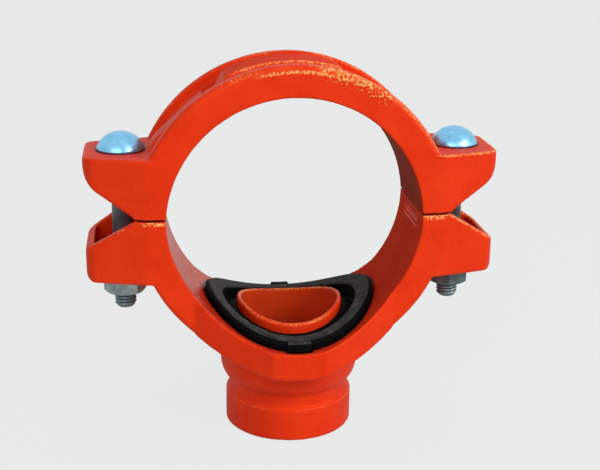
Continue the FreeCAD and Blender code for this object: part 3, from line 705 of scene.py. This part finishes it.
def thread_ridge(form, centre, top, bottom):
    """One ridge of triangular section, screwed down the core and closed at both ends."""
    turns = (top - bottom) / PITCH - 1
    steps = round(turns * TURN_STEPS)
    section = ((RIDGE_ROOT, RIDGE_FOOT), (SHANK_RADIUS, RIDGE_CREST),
               (SHANK_RADIUS, -RIDGE_CREST), (RIDGE_ROOT, -RIDGE_FOOT))
    start = top - PITCH / 2
    points = [form.verts.new(centre + Vector((radius, 0, start + share * PITCH)))
              for radius, share in section]
    first = form.faces.new(points)
    angle = -2 * math.pi * steps / TURN_STEPS
    spin = bmesh.ops.spin(form, geom=list(first.edges) + points, cent=centre, axis=(0, 0, 1),
                          dvec=(0, 0, -PITCH / TURN_STEPS), angle=angle, steps=steps)
    last = [item for item in spin["geom_last"] if isinstance(item, bmesh.types.BMVert)]
    form.faces.new(last)


for word, side in (("left", -1), ("right", 1)):
    bolt_form = bmesh.new()
    seat_point = Vector((side * BOLT_OFFSET, 0, HEAD_SEAT))
    end = BOLT_END - HEAD_SEAT
    thread_top = THREAD_TOP - HEAD_SEAT
    shank_profile = [(0, end), (CORE_RADIUS - BOLT_TIP, end), (CORE_RADIUS, end + BOLT_TIP),
                     (CORE_RADIUS, thread_top - THREAD_RUNOUT), (SHANK_RADIUS, thread_top)]
    spun(bolt_form, shank_profile + dome_profile(), seat_point)
    bmesh.ops.remove_doubles(bolt_form, verts=bolt_form.verts, dist=WELD_REACH)
    thread_ridge(bolt_form, seat_point, thread_top, end + BOLT_TIP)
    bmesh.ops.recalc_face_normals(bolt_form, faces=bolt_form.faces)
    for face in bolt_form.faces:
        face.smooth = True
        face.material_index = int(face.calc_center_median().z < HEAD_SEAT)
    bolt_mesh = bpy.data.meshes.new(f"track_bolt_{word}")
    bolt_form.to_mesh(bolt_mesh)
    bolt_form.free()
    # Head faces take the zinc with the painted sky reflection, shank faces the copy with painted shade.
    bolt_mesh.materials.append(painted_sky_zinc)
    bolt_mesh.materials.append(shaded_shank_zinc)
    link_piece(f"track_bolt_{word}", bolt_mesh, "strap", f"bolt_{word}")


# The nuts. Each is a cold-formed steel hexagon, run up under its lug by hand. Their zinc
# plate is greyer than the bolts' heads, and the right one's is a darker copy, with painted shade.

NUT_CELL = 0.3 * MM
NUT_EASE = 2
GREY_ZINC = (
    (0.17, 0.22, 0.22),
    (0.33, 0.41, 0.40),
    (0.54, 0.63, 0.61),
)
RIGHT_NUT_SHADE_ZINC = (
    (0.06, 0.09, 0.09),
    (0.13, 0.17, 0.17),
    (0.26, 0.32, 0.31),
)

grey_zinc = zinc_material("grey_zinc", GREY_ZINC, metallic=0.60, haze=0.22)
# The right nut's darker zinc is a copy of the left's, with painted shade.
shaded_nut_zinc = zinc_material("shaded_nut_zinc", RIGHT_NUT_SHADE_ZINC, metallic=0.60, haze=0.26)

for word, plating in (("left", grey_zinc), ("right", shaded_nut_zinc)):
    nut_mesh = eased_copy(f"nut_{word}", NUT_CELL, NUT_EASE)
    nut_mesh.materials.append(plating)
    link_piece(f"hexagon_nut_{word}", nut_mesh, f"nut_{word}", f"nut_{word}")


# The studio: a wide pale floor and surround, a soft key from the front right and a weaker
# fill from the front left. The camera stands where the photograph was taken from.

PALE = (0.807, 0.831, 0.823)
FLOOR_TONE = (0.55, 0.57, 0.56)
FLOOR_HAZE = 0.9
FLOOR_GLOW = 0.88
GLOW_STRENGTH = 1.06
MIRRORED_GLOW = 0.35
MIRRORED_SURROUND = 1.0
FLOOR_LEVEL = -107 * MM
FLOOR_SIDE = 30.0
SKY_GREYS = (
    (0.0, (0.34, 0.34, 0.34)),
    (0.35, (0.42, 0.42, 0.42)),
    (1.0, (0.50, 0.50, 0.50)),
)
LAMPS = (
    {"name": "key", "azimuth": 48, "elevation": 30, "distance": 1.6, "width": 0.6, "watts": 15.2},
    {"name": "fill", "azimuth": -22, "elevation": 26, "distance": 1.5, "width": 0.9, "watts": 5.8},
)
CAMERA_TARGET = Vector((4.98, 0.0, -15.62)) * MM
CAMERA_AZIMUTH = -7.63
CAMERA_ELEVATION = 17.31
CAMERA_ROLL = math.radians(0.71)
CAMERA_DISTANCE = 544.86 * MM
CAMERA_LENS = 69.75
CAMERA_SENSOR = 36


def seen_node(tree, mirrored_share):
    """One for what the camera sees, a share for what is mirrored, and nought for the light."""
    path = tree.nodes.new("ShaderNodeLightPath").outputs
    mirrored = math_node(tree, "MAXIMUM", path["Is Glossy Ray"], path["Is Transmission Ray"])
    mirrored = math_node(tree, "MULTIPLY", mirrored, mirrored_share)
    return math_node(tree, "MAXIMUM", path["Is Camera Ray"], mirrored)


def direction(azimuth, elevation):
    """The way from the object to a lamp or the camera, in degrees from the front and the level."""
    turned = math.radians(azimuth)
    raised = math.radians(elevation)
    return Vector((math.sin(turned) * math.cos(raised), -math.cos(turned) * math.cos(raised),
                   math.sin(raised)))


floor_form = bmesh.new()
bmesh.ops.create_grid(floor_form, x_segments=1, y_segments=1, size=FLOOR_SIDE / 2)
bmesh.ops.translate(floor_form, verts=floor_form.verts, vec=(0, 0, FLOOR_LEVEL))
floor_mesh = bpy.data.meshes.new("floor")
floor_form.to_mesh(floor_mesh)
floor_form.free()
floor_material, floor_tree, floor_shader = new_material("floor")
floor_shader.inputs["Base Color"].default_value = (*FLOOR_TONE, 1)
floor_shader.inputs["Roughness"].default_value = FLOOR_HAZE
floor_shader.inputs["Specular IOR Level"].default_value = 0.0
glow = floor_tree.nodes.new("ShaderNodeEmission")
glow.inputs["Color"].default_value = (*PALE, 1)
glow.inputs["Strength"].default_value = GLOW_STRENGTH
blend = floor_tree.nodes.new("ShaderNodeMixShader")
glow_share = math_node(floor_tree, "MULTIPLY", seen_node(floor_tree, MIRRORED_GLOW), FLOOR_GLOW)
blended = (glow_share, floor_shader.outputs["BSDF"], glow.outputs["Emission"])
for socket, output in zip(blend.inputs, blended):
    floor_tree.links.new(output, socket)
floor_tree.links.new(blend.outputs["Shader"], floor_tree.nodes["Material Output"].inputs["Surface"])
floor_mesh.materials.append(floor_material)
floor = bpy.data.objects.new("floor", floor_mesh)
bpy.context.scene.collection.objects.link(floor)

world = bpy.data.worlds.new("surround")
bpy.context.scene.world = world
world.use_nodes = True
world_tree = world.node_tree
heading = world_tree.nodes.new("ShaderNodeSeparateXYZ")
outward = world_tree.nodes.new("ShaderNodeTexCoord").outputs["Generated"]
world_tree.links.new(outward, heading.inputs["Vector"])
sky = ramp_node(world_tree, heading.outputs["Z"], SKY_GREYS)
backdrop = blend_node(world_tree, sky, seen_node(world_tree, MIRRORED_SURROUND), "MIX", PALE)
world_tree.links.new(backdrop, world_tree.nodes["Background"].inputs["Color"])

for lamp_plan in LAMPS:
    towards = direction(lamp_plan["azimuth"], lamp_plan["elevation"])
    lamp_data = bpy.data.lights.new(lamp_plan["name"], "AREA")
    lamp_data.size = lamp_plan["width"]
    lamp_data.energy = lamp_plan["watts"]
    lamp = bpy.data.objects.new(lamp_plan["name"], lamp_data)
    facing = towards.to_track_quat("Z", "Y").to_matrix().to_4x4()
    lamp.matrix_world = Matrix.Translation(towards * lamp_plan["distance"]) @ facing
    bpy.context.scene.collection.objects.link(lamp)

away = direction(CAMERA_AZIMUTH, CAMERA_ELEVATION)
level = direction(CAMERA_AZIMUTH + 90, 0)
upright = away.cross(level)
right = level * math.cos(CAMERA_ROLL) + upright * math.sin(CAMERA_ROLL)
top = upright * math.cos(CAMERA_ROLL) - level * math.sin(CAMERA_ROLL)
camera_data = bpy.data.cameras.new("camera")
camera_data.sensor_width = CAMERA_SENSOR
camera_data.lens = CAMERA_LENS
camera = bpy.data.objects.new("camera", camera_data)
turn = Matrix((right, top, away)).transposed().to_4x4()
camera.matrix_world = Matrix.Translation(CAMERA_TARGET + away * CAMERA_DISTANCE) @ turn
bpy.context.scene.collection.objects.link(camera)
bpy.context.scene.camera = camera
bpy.context.scene.view_settings.view_transform = "Standard"
